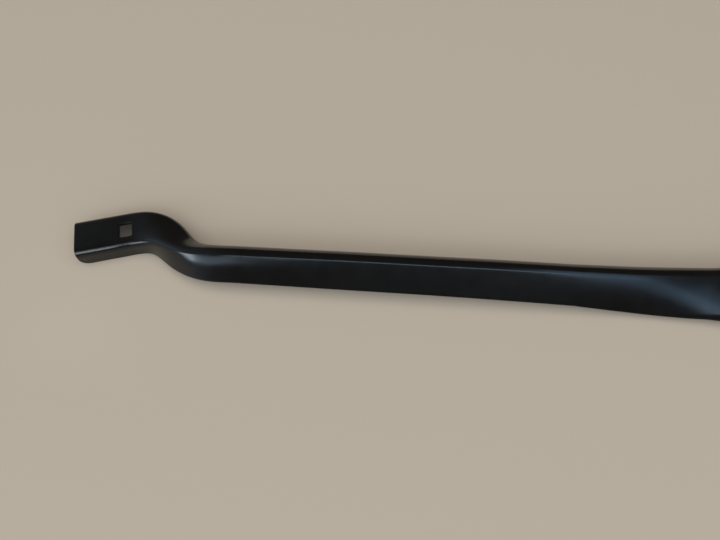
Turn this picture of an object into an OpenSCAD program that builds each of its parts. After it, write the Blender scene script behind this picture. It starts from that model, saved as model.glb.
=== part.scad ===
// Windscreen wiper arm: a pressed steel channel, cranked and twisted along its length,
// hinged on a die-cast mounting head and pulled down by a tension spring inside the channel.
// The origin is on the spindle axis, level with the seat of the spindle nut. +Z points up
// along the spindle, and the arm reaches out to its blade end along -X.

/* [Blade end] */
// Width of the channel at the blade end
tip_w = 21.8; // [20:0.1:23]
// Height of the channel at the blade end
tip_h = 10.8; // [10:0.1:12]
// Corner radius of both edges at the blade end
tip_r = 4.1; // [3:0.1:4.5]
// Heading of the blade end against the arm's main line, degrees
tip_turn = 16.4; // [8:0.2:22]
// Corner radius at the foot of the blade end's flanks
tip_foot_r = 5; // [2:0.5:6]
// Length of the latch hole along the channel
hole_len = 6.5; // [5:0.5:9]
// Width of the latch hole across the channel
hole_wid = 8.5; // [6:0.5:9]
// Distance from the blade end to the middle of the latch hole
hole_from_tip = 26.4; // [22:0.2:28]
// Distance of the latch hole from the channel's middle, towards the near side
hole_aside = 1.2; // [0:0.1:2]
// Corner radius of the latch hole
hole_corner_r = 0.8; // [0.4:0.1:1.5]

/* [Pressed channel] */
// Thickness of the steel sheet
sheet_t = 1.4; // [1.2:0.1:1.6]
// Height of the channel along its middle
mid_h = 11.5; // [10.5:0.1:12.5]
// Height of the channel where its face has broadened
wide_h = 13.2; // [12:0.1:15]
// Width of the channel over the spring
root_w = 24; // [23.5:0.5:27]
// Height of the channel over the spring
root_h = 21.5; // [20.5:0.5:22.5]
// Corner radius of both edges over the spring
root_r = 3.5; // [3:0.25:3.5]
// Tilt of the middle's near face, degrees from level
mid_lean = 45; // [40:1:50]
// Breadth of the near face along the middle
mid_face = 8; // [7:0.5:9]
// Breadth of the near face where it has broadened to become the root's web
wide_face = 18.4; // [16:0.2:20]
// Breadth of the crease between the near face and the top
crease_b = 4.4; // [3.6:0.1:5.5]
// Breadth of the top beside the crease
top_b = 5.8; // [5:0.1:7]
// Tilt of that top's far edge, degrees from level
top_turn = 61.4; // [55:0.2:66]
// Breadth of the curve from the top to the upright far flank
edge_b = 2.1; // [1.6:0.1:3]
// Tilt of the near flank where the face has broadened, degrees from level
wide_flank = 57; // [50:1:65]
// Breadth of the curve from the broadened face to its flank
curl_b = 3; // [2.5:0.25:4]
// Crown of the near face in the jog, degrees from edge to edge
jog_crown = 14; // [8:1:16]
// Crown of the near face where it has broadened, degrees from edge to edge
broad_crown = 14.6; // [8:0.2:18]
// Crown of the web at the blade end and over the spring, degrees at its edges
flat_crown = 1; // [1:0.5:3]

/* [Route of the channel] */
// Length along the channel from the blade end to the hinge axis
arm_len = 520; // [510:5:550]
// Heading of the jog's steepest part against the main line, degrees
jog_turn = -57.4; // [-60:0.1:-45]
// Distance from the blade end to the start of the jog's first turn
jog_from = 24.3; // [22:0.1:28]
// Length of the jog's first turn
jog_out_len = 37.8; // [34:0.1:42]
// Distance from the start of the first turn to the start of the second
jog_gap = 18.5; // [17:0.1:24]
// Length of the jog's second turn
jog_back_len = 49.2; // [44:0.1:54]
// Distance from the blade end to where the near flank starts to lean back
lean_from = 32.9; // [30:0.1:38]
// Length over which the near flank leans back to become the face
lean_len = 50.2; // [46:0.1:60]
// Distance from the blade end to where the face starts to take its crown in the jog
bend_from = 45; // [42:1:50]
// Distance from the blade end to where that crown is fullest
bend_mid = 77; // [70:1:85]
// Distance from the blade end to where that crown has gone
bend_to = 170; // [150:5:190]
// Height of the channel's top above the base, along the middle of the arm
mid_z = 19.8; // [18:0.2:21]
// Length over which the channel climbs from the blade end
climb_len = 71; // [66:1:90]
// Height of the channel's top above the base where its face has broadened
wide_z = 18; // [17:0.2:20]
// Distance from the blade end to where the channel starts to deepen
deepen_from = 163; // [150:1:180]
// Distance from the blade end to where the near face starts to broaden
face_from = 175; // [160:1:190]
// Distance from the blade end to where the top starts to sink
sink_from = 210; // [200:1:230]
// Distance from the blade end to where the near flank turns down again
flank_from = 220; // [200:1:240]
// Distance from the blade end to where the face has broadened
wide_at = 338; // [330:1:345]
// Distance from the blade end to where the near flank stands upright again
upright_at = 372; // [365:1:385]
// Length over which the near flank turns upright
upright_len = 34; // [25:1:45]
// Length over which the near face's lower edge takes its full curl as the face broadens
curl_len = 50.8; // [40:0.2:60]
// Distance from the hinge axis to the end of the twist
twist_end = 100; // [100:1:110]
// Length of the twist that takes the lean out again
twist_len = 132.8; // [120:0.2:140]
// Length over which the channel grows to its full section over the spring
root_len = 82; // [70:1:90]

/* [Hinge] */
// Distance from the spindle axis to the hinge axis
hinge_reach = 62; // [56:1:72]
// Height of the hinge axis above the base
hinge_h = 16; // [16:0.5:19]
// Height of the channel's web above the hinge axis
web_rise = 9; // [8.5:0.5:10]
// Largest lift of the arm, degrees
lift_max = 65; // [50:5:70]
// Radius of the hinge pin
hinge_pin_r = 2.5; // [2:0.1:2.8]
// Radius of the hinge pin's heads
hinge_head_r = 4.6; // [4:0.1:5]
// Thickness of a rivet head
rivet_head_t = 1.4; // [1:0.1:1.8]
// Wall of the bushes
bush_wall = 1.2; // [1:0.1:1.4]
// Radius of the bushes' flanges
bush_flange_r = 6; // [5.5:0.1:6.4]
// Thickness of the bushes' flanges
bush_flange_t = 0.8; // [0.6:0.1:1]
// Radius of the rounded ears at the channel's end
ear_r = 7; // [6.4:0.1:7]
// Length of the channel's cheeks from the hinge axis to where they have their full height
cheek_len = 15; // [14:0.5:18]
// Angle the arm could still turn past its largest lift before it meets the head, degrees
stop_play = 2; // [1:0.5:4]
// Running clearance of a pin in its bush
run_gap = 0.06; // [0.03:0.01:0.09]
// Gap under a rivet's head
rivet_gap = 0.05; // [0.03:0.01:0.1]
// Gap of a part that is pressed or riveted in its hole
press_gap = 0.01; // [0.01:0.01:0.03]
// Gap between the faces of neighbouring pieces
face_gap = 0.15; // [0.1:0.05:0.25]
// Gap between parts that only come close
free_gap = 0.3; // [0.25:0.05:0.5]

/* [Mounting head] */
// Radius of the bore for the spindle's threaded end
bore_r = 4.3; // [4.1:0.1:4.6]
// Length of that bore
bore_len = 3.5; // [3:0.5:5]
// Radius of the taper seat at the bore
taper_top_r = 5; // [4.8:0.1:5.4]
// Radius of the taper seat at the base
taper_base_r = 5.9; // [5.5:0.1:6.4]
// Height of the nut seat above the base
seat_h = 11; // [9:0.5:12]
// Radius of the recess for the nut
recess_r = 10.2; // [9.5:0.1:10.6]
// Radius of the head round the spindle
head_r = 14.5; // [13.5:0.5:16]
// Height of the head round the spindle
head_h = 18.5; // [17:0.5:20]
// Width of the fork slot
slot_w = 8; // [6.4:0.2:8.6]
// Length of the fork's nose ahead of the hinge axis
nose_len = 9; // [8:0.5:11]
// Width of the gap between the channel's web and the hinge axis
web_back = 3; // [2:0.5:4]
// Wall round the core pockets in the underside
core_wall = 2.6; // [2.2:0.2:3.2]
// Thickness of the rib between the core pockets
core_rib = 2; // [1.6:0.2:3]
// Height of the floor above the core pockets, from the base
core_h = 9; // [7:0.5:10]
// Edge radius of the casting
cast_r = 2; // [1:0.25:2.5]
// Edge radius at the base of the casting
foot_r = 0.6; // [0.4:0.1:1]
// Metal below the hook pin
fork_wall = 2.4; // [2:0.1:2.6]
// Length of the fork's neck inside the casting
neck_len = 12; // [8:1:16]
// Metal between the fork slot and the hook behind it
slot_play = 2; // [1.5:0.5:3]
// Height of the casting above the nut cover's edge
lip_h = 1; // [0.5:0.25:1.5]

/* [Nut cover] */
// Thickness of the cover
cover_t = 1.8; // [1.4:0.1:2.4]
// Rise of the cover's dome
cover_rise = 3; // [2:0.5:4]
// Depth of the cover's plug in the nut recess
plug_depth = 4; // [3:0.5:5]
// Wall of the plug
plug_wall = 1.4; // [1.2:0.1:2]
// Distance from the head's edge to the cover's edge
cover_inset = 0.8; // [0.5:0.1:1.5]
// Taper of the plug towards its foot, in radius
plug_lead = 0.4; // [0.2:0.1:0.8]

/* [Spring] */
// Distance from the hinge axis to the hook pin, straight below it
hook_drop = 7.5; // [7.2:0.1:8]
// Radius of the hook pin
hook_pin_r = 2; // [1.6:0.1:2.2]
// Distance from the hinge axis to the spring's anchor pin, along the arm
anchor_reach = 98; // [90:1:99]
// Drop of the anchor pin below the hinge axis
anchor_drop = 4; // [3:0.5:5]
// Radius of the anchor pin
anchor_r = 2; // [1.6:0.1:2.2]
// Radius of the anchor pin's heads
anchor_head_r = 3.4; // [3:0.1:4]
// Radius of the coil to the middle of its wire
coil_r = 5; // [4.4:0.1:5.4]
// Radius of the spring's wire
wire_r = 1.1; // [0.9:0.05:1.2]
// Pitch of the coil at rest
coil_pitch = 2.45; // [2.42:0.01:2.6]
// Thickness of the flat hook across the arm
hook_t = 3.5; // [3:0.5:4.5]
// Breadth of the hook's steel
hook_b = 2.2; // [1.8:0.1:2.4]
// Play of the hook's eye round its pin, in radius
hook_play = 1.2; // [1.1:0.1:1.4]
// Length of the hook from the hook pin to the spring's eye
hook_len = 22; // [20:1:25]
// Play of the spring's wire in the hook's far hole, in radius
eye_play = 0.6; // [0.4:0.1:0.8]
// Length of wire between an eye and the coil, along the spring
coil_lead = 4; // [3:0.5:5]
// Sweep of each eye, degrees
eye_sweep = 200; // [180:5:210]

/* [Hidden] */
$fn = 48;
eps = 0.01;
paint = [0.075, 0.08, 0.085];
steel = [0.62, 0.62, 0.6];
resin = [0.12, 0.12, 0.13];

base_z = -seat_h;
hinge_x = -hinge_reach;
hinge_z = base_z + hinge_h;
root_in = root_w / 2 - sheet_t;
fork_half = root_in - bush_flange_t - 2 * face_gap;
web_in = web_rise - sheet_t;
corner_r = root_r - sheet_t;
corner_drop = corner_r - sqrt(corner_r ^ 2 - (fork_half - root_in + corner_r) ^ 2);
fork_r = web_in - corner_drop - free_gap;
web_edge_r = norm([web_back, web_rise]);
shoulder_r = web_edge_r + free_gap;
ear_gap_r = ear_r + 2 * free_gap;
bush_in_r = hinge_pin_r + run_gap;
bush_out_r = bush_in_r + bush_wall;
anchor_x = hinge_x - anchor_reach;
anchor_z = hinge_z - anchor_drop;
hook_z = hinge_z - hook_drop;
line_turn = atan((hook_drop - anchor_drop) / anchor_reach);
line_len = norm([anchor_reach, hook_drop - anchor_drop]);
stop_turn = 90 + atan(web_back / web_rise) - lift_max - stop_play;
slot_back = hook_pin_r + hook_play + hook_b + slot_play;

// Smooth step from 0 at a to 1 at b
function ease(a, b, s) =
    let (t = min(1, max(0, (s - a) / (b - a)))) t * t * (3 - 2 * t);

// How far the lean, the jog's crown, the broadening, the twist and the root have come at a
// length s from the blade end
twist_to = arm_len - twist_end;
root_from = twist_to - root_len;
function leaned(s) = ease(lean_from, lean_from + lean_len, s);
function bent(s) = ease(bend_from, bend_mid, s) - ease(bend_mid, bend_to, s);
function broadened(s) = ease(flank_from, wide_at, s);
function untwisted(s) = ease(twist_to - twist_len, twist_to, s);
function rooted(s) = ease(root_from, twist_to, s);

// Heading in plan, height of the top and height of the section at a length s
function heading(s) =
    tip_turn
    + (jog_turn - tip_turn) * ease(jog_from, jog_from + jog_out_len, s)
    - jog_turn * ease(jog_from + jog_gap, jog_from + jog_gap + jog_back_len, s);
function top_z(s) =
    base_z + tip_h
    + (mid_z - tip_h) * ease(jog_from, jog_from + climb_len, s)
    + (wide_z - mid_z) * ease(sink_from, wide_at, s)
    + (hinge_h + web_rise - wide_z) * rooted(s);
function height(s) =
    tip_h - foot_lift(s) + (mid_h - tip_h) * leaned(s)
    + (wide_h - mid_h) * ease(deepen_from, wide_at, s) + (root_h - wide_h) * rooted(s);
// How far the flanks' feet are rounded up towards the blade end
function foot_lift(s) =
    s < tip_foot_r ? tip_foot_r - sqrt(tip_foot_r ^ 2 - (tip_foot_r - s) ^ 2) : 0;

// Tilt of the outward normal towards the near side, degrees, along the section: 90 on the
// near flank and -90 on the far one at both ends of the arm. In between, the near face is
// the tip's near flank leant back, and it turns level to become the web over the spring.
third = (90 - flat_crown) / 3;
function face_tilt(s) = 90 + (mid_lean - 90) * leaned(s) - mid_lean * untwisted(s);
function face_half(s) =
    (jog_crown * bent(s) + broad_crown * broadened(s) * (1 - rooted(s))) / 2
    + flat_crown * rooted(s);
function flank_tilt(s) =
    90 + (mid_lean + bent(s) * jog_crown / 2 - 90) * leaned(s)
    + (wide_flank - mid_lean) * broadened(s)
    + (90 - wide_flank) * ease(upright_at - upright_len, upright_at, s);
function top_near(s) = flat_crown - (2 * flat_crown + third) * leaned(s);
function top_far(s) =
    -flat_crown + (flat_crown - top_turn) * leaned(s)
    + (top_turn - flat_crown - 2 * third) * untwisted(s);

// Breadth of each part of the section at a length s. Over the spring each corner's arc and
// the face between them add up to root_w, and at the blade end they add up to tip_w.
tip_arc = tip_r * 3 * third * PI / 180;
root_arc = root_r * third * PI / 180;
function flat_b(w, r) =
    (w - 2 * r * (1 - sin(flat_crown))) * flat_crown * PI / 180 / sin(flat_crown);
tip_flank_b = 4;
tip_lip_b = 2;
foot_b = 0.3;
function fitted(s) =
    min(1, (tip_h - tip_r - foot_lift(s) - foot_b) / (tip_flank_b + tip_lip_b));
function crease_at(s) =
    tip_arc + (crease_b - tip_arc) * leaned(s) + (root_arc - crease_b) * untwisted(s);
function face_at(s) =
    tip_flank_b * fitted(s) + (mid_face - tip_flank_b) * leaned(s)
    + (wide_face - mid_face) * ease(face_from, wide_at, s)
    + (flat_b(root_w, root_r) - wide_face) * rooted(s);
function curl_at(s) =
    tip_lip_b * fitted(s) + (curl_b - tip_lip_b) * ease(wide_at - curl_len, wide_at, s)
    + (3 * root_arc - curl_b) * rooted(s);
function top_at(s) =
    flat_b(tip_w, tip_r) + (top_b - flat_b(tip_w, tip_r)) * leaned(s)
    + (root_arc - top_b) * untwisted(s);
function edge_at(s) =
    tip_arc + (edge_b - tip_arc) * leaned(s) + (root_arc - edge_b) * untwisted(s);

// Lengths at which the channel has a ring of points: close where it bends or twists
function rings(from, to, step) =
    let (n = max(1, ceil((to - from) / step))) [for (i = [0 : n - 1]) from + (to - from) * i / n];
jog_end = jog_from + jog_gap + jog_back_len;
foot_n = 8;
stations = concat(
    [for (i = [0 : foot_n - 1]) tip_foot_r * (1 - cos(90 * i / foot_n))],
    rings(tip_foot_r, jog_from - 2, 10),
    rings(jog_from - 2, jog_end, 2.4),
    rings(jog_end, face_from, 12),
    rings(face_from, root_from, 7.5),
    rings(root_from, twist_to, 4.5),
    rings(twist_to, arm_len + ear_r + 2, 30),
    [arm_len + ear_r + 2]);

// Plan of the channel's line, summed up from the blade end and then set on the hinge
plan_step = 1;
plan_n = ceil((arm_len + ear_r + 2) / plan_step) + 1;
plan = [for (i = 0, p = [0, 0]; i <= plan_n;
             a = heading((i + 0.5) * plan_step), p = p + plan_step * [cos(a), sin(a)],
             i = i + 1) p];
function along(s) =
    let (i = floor(s / plan_step), f = s / plan_step - i) plan[i] * (1 - f) + plan[i + 1] * f;
tip_at = [hinge_x, 0] - along(arm_len);

// Points of a strip of the section that starts at p, has the breadth b and turns from one
// tilt to another. Each point is [across, up, tilt]; way is -1 towards the near foot, 1
// towards the far foot. The points lie on the strip's own arc.
function strip(p, b, to, n, way) =
    let (
        turn = (to - p[2]) / n,
        chord = b / n * (abs(turn) < eps ? 1 : sin(turn / 2) * 360 / (PI * turn)))
    [for (i = 1, q = [p[0], p[1]] + way * chord * dir(p[2] + turn / 2); i <= n;
          q = q + way * chord * dir(p[2] + turn * (i + 0.5)), i = i + 1)
        [q[0], q[1], p[2] + turn * i]];
function dir(a) = [cos(a), sin(a)];
function end(list) = list[len(list) - 1];

// Steps of each strip
crease_n = 5;
face_n = 3;
curl_n = 4;
top_n = 3;
edge_n = 4;

// Outline of the outside from the near flank's foot to the far flank's foot, its highest
// point level with 0 and its middle over the channel's line
function outline(s) =
    let (
        start = [0, 0, top_near(s)],
        crease = strip(start, crease_at(s), face_tilt(s) - face_half(s), crease_n, -1),
        face = strip(end(crease), face_at(s), face_tilt(s) + face_half(s), face_n, -1),
        curl = strip(end(face), curl_at(s), flank_tilt(s), curl_n, -1),
        top = strip(start, top_at(s), top_far(s), top_n, 1),
        edge = strip(end(top), edge_at(s), -90, edge_n, 1),
        down = concat(crease, face, curl),
        upper = concat([for (i = [1 : len(down)]) down[len(down) - i]], [start], top, edge),
        high = max([for (p = upper) p[1]]),
        near_b = max(foot_b, end(curl)[1] - high + height(s)) / sin(flank_tilt(s)),
        far_b = max(foot_b, end(edge)[1] - high + height(s)),
        all = concat(strip(end(curl), near_b, flank_tilt(s), 1, -1), upper,
                     strip(end(edge), far_b, -90, 1, 1)),
        across = [for (p = all) p[0]],
        middle = (min(across) + max(across)) / 2)
    [for (p = all) [p[0] - middle, p[1] - high, p[2]]];

// The same outline set in by the sheet's thickness, and the closed section of the sheet
function inset(pts, t) = [for (p = pts) [p[0] + t * sin(p[2]), p[1] - t * cos(p[2])]];
function sheet_section(s) =
    let (o = outline(s), n = inset(o, sheet_t), last = len(o) - 1)
    concat([for (p = o) [p[0], p[1]]], [for (i = [0 : last]) n[last - i]]);

// A section's points in space at a length s
function placed(s) =
    let (c = along(s) + tip_at, a = heading(s))
    [for (p = sheet_section(s)) [c[0] - p[0] * sin(a), c[1] + p[0] * cos(a), top_z(s) + p[1]]];

// Skin of a tube from rings of points that all have the same number of points
module skin(list) {
    n = len(list[0]);
    m = len(list);
    points = [for (ring = list) each ring];
    sides = [for (j = [0 : m - 2], i = [0 : n - 1], k = [0, 1])
        let (a = j * n + i, b = j * n + (i + 1) % n)
        k == 0 ? [a, b, b + n] : [a, b + n, a + n]];
    near_end = [for (i = [0 : n - 1]) n - 1 - i];
    far_end = [for (i = [0 : n - 1]) (m - 1) * n + i];
    polyhedron(points, concat([near_end, far_end], sides), convexity = 10);
}

// Moves what follows into the blade end's own frame: x along it, z = 0 on the base
module at_tip() {
    translate([tip_at[0], tip_at[1], base_z])
        rotate([0, 0, tip_turn])
            children();
}

// A bar along Y round the middle of the arm
module cross_bar(r, length, x, z) {
    translate([x, 0, z])
        rotate([90, 0, 0])
            cylinder(r = r, h = length, center = true);
}

// A plate across the arm from an outline drawn in X and Z, the hinge axis at its origin
module side_plate(pts, y_from, y_to) {
    translate([hinge_x, y_to, hinge_z])
        rotate([90, 0, 0])
            linear_extrude(y_to - y_from)
                polygon(pts);
}

// Points of an arc about the origin, or about c
function arc(r, from, to, c = [0, 0], n = 12) =
    [for (i = [0 : n]) let (a = from + (to - from) * i / n) c + r * [cos(a), sin(a)]];

// What is cut from the channel's end so that rounded ears are left round the hinge
module ear_cut() {
    far = 2 * ear_r;
    drop = root_h - web_rise;
    side_plate(concat(
        [[-web_back, far], [-web_back, ear_r * sin(115)]],
        arc(ear_r, 115, -90),
        [[-cheek_len, -drop], [-cheek_len, -far - drop], [far, -far - drop], [far, far]]),
        -root_w, root_w);
}

module latch_hole() {
    c = [hole_len / 2 - hole_corner_r, hole_wid / 2 - hole_corner_r];
    at_tip()
        translate([hole_from_tip, -hole_aside, tip_h - 2 * sheet_t])
            linear_extrude(4 * sheet_t)
                polygon(concat(
                    arc(hole_corner_r, 0, 90, c, 4),
                    arc(hole_corner_r, 90, 180, [-c[0], c[1]], 4),
                    arc(hole_corner_r, 180, 270, -c, 4),
                    arc(hole_corner_r, 270, 360, [c[0], -c[1]], 4)));
}

module arm_channel() {
    color(paint)
        difference() {
            skin([for (s = stations) placed(s)]);
            latch_hole();
            ear_cut();
            cross_bar(hinge_pin_r + press_gap, 2 * root_w, hinge_x, hinge_z);
            cross_bar(anchor_r + press_gap, 2 * root_w, anchor_x, anchor_z);
        }
}

// Width and top of the head's casting at x, between the shoulder and the spindle boss
function head_half(x) =
    root_w / 2 + (head_r - root_w / 2) * ease(hinge_x + shoulder_r, -head_r / 3, x);
function head_top(x) =
    hinge_z + web_rise + (base_z + head_h + cover_t + lip_h - hinge_z - web_rise)
    * ease(hinge_x + head_r, -head_r - lip_h, x);

// Upright section of the casting across the arm: a block with rounded edges
function cast_section(x) =
    let (w = head_half(x), t = head_top(x), r = cast_r, q = foot_r)
    [for (p = concat(
        arc(r, 180, 90, [r - w, t - r], 4),
        arc(r, 90, 0, [w - r, t - r], 4),
        arc(q, 0, -90, [w - q, base_z + q], 2),
        arc(q, -90, -180, [q - w, base_z + q], 2))) [x, p[0], p[1]]];

module cast_body() {
    skin([for (x = concat(rings(hinge_x + web_back, -2, 5.5), [-2])) cast_section(x)]);
}

module boss() {
    translate([0, 0, base_z])
        rotate_extrude($fn = 96)
            polygon(concat(
                [[0, 0], [head_r - foot_r, 0], [head_r, foot_r]],
                arc(cast_r / 2, 0, 90, [head_r - cast_r / 2, head_h - cast_r / 2], 4),
                [[0, head_h]]));
}

// Outline of the fork: round the hinge, with a nose that stops the arm under its web, and a
// neck that runs back into the casting
module fork() {
    back = web_back + neck_len;
    foot = hook_drop + hook_pin_r + fork_wall;
    side_plate(concat(
        [[back, 0], (shoulder_r + cast_r) * [cos(stop_turn), sin(stop_turn)]],
        arc(fork_r, stop_turn, 90),
        [[-nose_len + 1, fork_r], [-nose_len, fork_r - 1], [-nose_len, -hook_drop / 2],
         [-foot / 2, -foot], [back, -foot]]),
        -fork_half, fork_half);
}

// Room for the channel's end: round its ears, round the edge of its web, and beyond the web
// where the arm stands at its largest lift
module shoulder_cut() {
    out = [sin(lift_max), cos(lift_max)];
    up = [-out[1], out[0]];
    reach = web_rise + free_gap;
    far = 3 * root_h;
    cross_bar(ear_gap_r, 3 * head_r, hinge_x, hinge_z);
    side_plate(concat(
        [[0, 0]],
        arc(shoulder_r, stop_turn / 2, 90 - lift_max + acos(reach / shoulder_r)),
        [reach * out + far * up, [-far, far], [-far, 0]]),
        -2 * head_r, 2 * head_r);
}

// Slot for the hook, open ahead, above and below
module fork_slot() {
    translate([hinge_x - 2 * nose_len, -slot_w / 2, base_z - 1])
        cube([2 * nose_len + slot_back, slot_w, hinge_h + web_rise + 2]);
}

// Core pockets either side of a rib, open at the base
module core_pockets() {
    from = hinge_x + slot_back + core_wall;
    to = -head_r;
    half = root_w / 2 - core_wall;
    for (side = [-1, 1])
        translate([from, side > 0 ? core_rib / 2 : -half, base_z - 1])
            cube([to - from, half - core_rib / 2, core_h + 1]);
}

module mounting_head() {
    color(paint)
        difference() {
            union() {
                difference() {
                    union() {
                        cast_body();
                        boss();
                    }
                    shoulder_cut();
                    translate([0, 0, base_z + head_h])
                        cylinder(r = head_r + free_gap, h = head_h, $fn = 96);
                }
                fork();
            }
            fork_slot();
            core_pockets();
            cylinder(r = recess_r, h = head_h, $fn = 96);
            translate([0, 0, -bore_len - eps])
                cylinder(r = bore_r, h = bore_len + 2 * eps);
            translate([0, 0, base_z])
                cylinder(r1 = taper_base_r, r2 = taper_top_r, h = seat_h - bore_len, $fn = 96);
            translate([0, 0, base_z - 1])
                cylinder(r = taper_base_r, h = 1 + eps, $fn = 96);
            cross_bar(bush_out_r + press_gap, 2 * root_w, hinge_x, hinge_z);
            cross_bar(hook_pin_r + press_gap, 2 * root_w, hinge_x, hook_z);
        }
}

// Cover over the spindle nut: a dome with a plug ring that grips the nut recess
module nut_cover() {
    top = base_z + head_h;
    plug_r = recess_r - face_gap;
    rim_r = head_r - cover_inset;
    color(resin)
        translate([0, 0, top + face_gap])
            rotate_extrude($fn = 96)
                polygon(concat(
                    [[0, cover_rise], [0, cover_rise + cover_t]],
                    [for (i = [1 : 6]) let (a = 15 * i)
                        [rim_r * sin(a), cover_t / 2 + (cover_rise + cover_t / 2) * cos(a)]],
                    [[rim_r, 0], [plug_r, 0], [plug_r - plug_lead, -plug_depth],
                     [plug_r - plug_wall, -plug_depth], [plug_r - plug_wall, cover_rise / 2],
                     [plug_r / 2, cover_rise * 0.9]]));
}

// A rivet across the arm: a shank with a flat-domed head outside each of the channel's flanks
module rivet(r, head_rad, x, z) {
    under = root_w / 2 + rivet_gap;
    edge = under + rivet_head_t / 2;
    top = under + rivet_head_t;
    flat = head_rad - rivet_head_t;
    translate([x, 0, z])
        rotate([90, 0, 0])
            rotate_extrude()
                polygon([
                    [0, -top], [flat, -top], [head_rad, -edge], [head_rad, -under], [r, -under],
                    [r, under], [head_rad, under], [head_rad, edge], [flat, top], [0, top]]);
}

module hinge_pin() {
    color(steel) rivet(hinge_pin_r, hinge_head_r, hinge_x, hinge_z);
}

module spring_anchor_pin() {
    color(steel) rivet(anchor_r, anchor_head_r, anchor_x, anchor_z);
}

// A flanged bush, pressed into one cheek of the fork from outside
module bush(side) {
    inner = slot_w / 2 + face_gap;
    outer = fork_half + face_gap;
    color(resin)
        translate([hinge_x, 0, hinge_z])
            rotate([-side * 90, 0, 0])
                rotate_extrude()
                    polygon([
                        [bush_in_r, inner], [bush_out_r, inner], [bush_out_r, outer],
                        [bush_flange_r, outer], [bush_flange_r, outer + bush_flange_t],
                        [bush_in_r, outer + bush_flange_t]]);
}

module hinge_bush_near() { bush(-1); }
module hinge_bush_far() { bush(1); }

module hook_pin() {
    color(steel) cross_bar(hook_pin_r, 2 * fork_half - 2 * face_gap, hinge_x, hook_z);
}

// Moves what follows onto the spring's line: its origin at the hook pin, and +X from there
// to the anchor pin
module on_line() {
    translate([hinge_x, 0, hook_z])
        rotate([0, -line_turn, 180])
            children();
}

// Flat steel hook: its eye reaches round behind the hook pin, and its far end holds the spring
hook_in_r = hook_pin_r + hook_play;
eye_x = hook_play - free_gap;
spring_hole_r = wire_r + eye_play;
tongue_r = spring_hole_r + hook_b;
module spring_hook() {
    mid_r = hook_in_r + hook_b / 2;
    n = 16;
    inner = arc(hook_in_r, 125, 270, [eye_x, 0], n);
    outer = arc(hook_in_r + hook_b, 125, 270, [eye_x, 0], n);
    color(steel)
        on_line()
            translate([0, hook_t / 2, 0])
                rotate([90, 0, 0])
                    linear_extrude(hook_t)
                        difference() {
                            polygon(concat(
                                [for (i = [0 : n]) inner[n - i]],
                                outer,
                                [[hook_len / 3, -mid_r - hook_b / 2]],
                                arc(tongue_r, -90, 90, [hook_len, 0], 10),
                                [[hook_len - tongue_r, tongue_r * 0.8],
                                 [hook_len * 0.45, -mid_r + hook_b]]));
                            translate([hook_len, 0])
                                circle(spring_hole_r, $fn = 32);
                        }
}

// Wire of the spring: an eye through the hook, the coil, and an eye round the anchor pin.
// Each entry is a point on the wire and the outward direction there.
coil_from = hook_len + coil_r + coil_lead;
anchor_eye = line_len - (coil_r - wire_r - anchor_r - free_gap);
coil_to = anchor_eye - coil_lead;
coil_turns = floor((coil_to - coil_from) / coil_pitch) + 0.25;
coil_n = 12;
eye_n = 12;
function wire() = concat(
    [for (i = [0 : eye_n]) let (a = 90 + eye_sweep * (1 - i / eye_n), d = [cos(a), sin(a), 0])
        [[hook_len + coil_r, 0, 0] + coil_r * d, d]],
    [for (i = [1 : coil_turns * coil_n - 1]) let (
        a = 360 * i / coil_n, d = [0, cos(a), sin(a)],
        x = coil_from + (coil_to - coil_from) * i / (coil_turns * coil_n))
        [[x, 0, 0] + coil_r * d, d]],
    [for (i = [0 : eye_n]) let (a = 90 - eye_sweep * i / eye_n, d = [cos(a), 0, sin(a)])
        [[anchor_eye, 0, 0] + coil_r * d, d]]);
module tension_spring() {
    w = wire();
    last = len(w) - 1;
    color(steel)
        on_line()
            skin([for (i = [0 : last])
                let (
                    run = w[min(i + 1, last)][0] - w[max(i - 1, 0)][0],
                    t = run / norm(run),
                    n = w[i][1] - t * (w[i][1] * t),
                    u = n / norm(n),
                    v = cross(t, u))
                [for (k = [0 : 5]) w[i][0] + wire_r * (u * cos(60 * k) + v * sin(60 * k))]]);
}

arm_channel();
mounting_head();
nut_cover();
hinge_pin();
hinge_bush_near();
hinge_bush_far();
hook_pin();
spring_hook();
tension_spring();
spring_anchor_pin();
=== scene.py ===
"""Looks of a windscreen wiper arm: satin black paint on the pressed channel and the cast head, and
the plated steel, spring wire and bearing resin of the hinge and the spring linkage.

Sizes are in millimetres, in the frame of the solids, and become metres where a mesh is made. Angles
are in degrees, apart from those said to be in radians."""
import math

import bmesh
import bpy
import numpy as np
from mathutils import Matrix, Vector

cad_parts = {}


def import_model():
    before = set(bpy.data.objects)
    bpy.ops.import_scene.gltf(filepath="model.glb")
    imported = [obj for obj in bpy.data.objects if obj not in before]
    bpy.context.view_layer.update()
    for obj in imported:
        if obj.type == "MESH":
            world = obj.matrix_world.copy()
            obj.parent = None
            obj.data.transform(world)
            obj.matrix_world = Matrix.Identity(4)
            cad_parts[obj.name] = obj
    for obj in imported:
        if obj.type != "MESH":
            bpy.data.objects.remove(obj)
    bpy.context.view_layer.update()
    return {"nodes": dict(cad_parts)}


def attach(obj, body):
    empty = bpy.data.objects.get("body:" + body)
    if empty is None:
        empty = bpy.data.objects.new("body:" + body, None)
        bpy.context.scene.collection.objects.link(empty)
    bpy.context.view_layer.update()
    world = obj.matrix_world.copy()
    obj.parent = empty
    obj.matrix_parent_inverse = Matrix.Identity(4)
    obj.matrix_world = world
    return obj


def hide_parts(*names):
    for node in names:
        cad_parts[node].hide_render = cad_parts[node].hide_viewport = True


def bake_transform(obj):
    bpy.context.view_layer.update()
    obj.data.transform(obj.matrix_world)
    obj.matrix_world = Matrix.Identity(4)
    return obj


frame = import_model()

MM = 0.001

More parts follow.
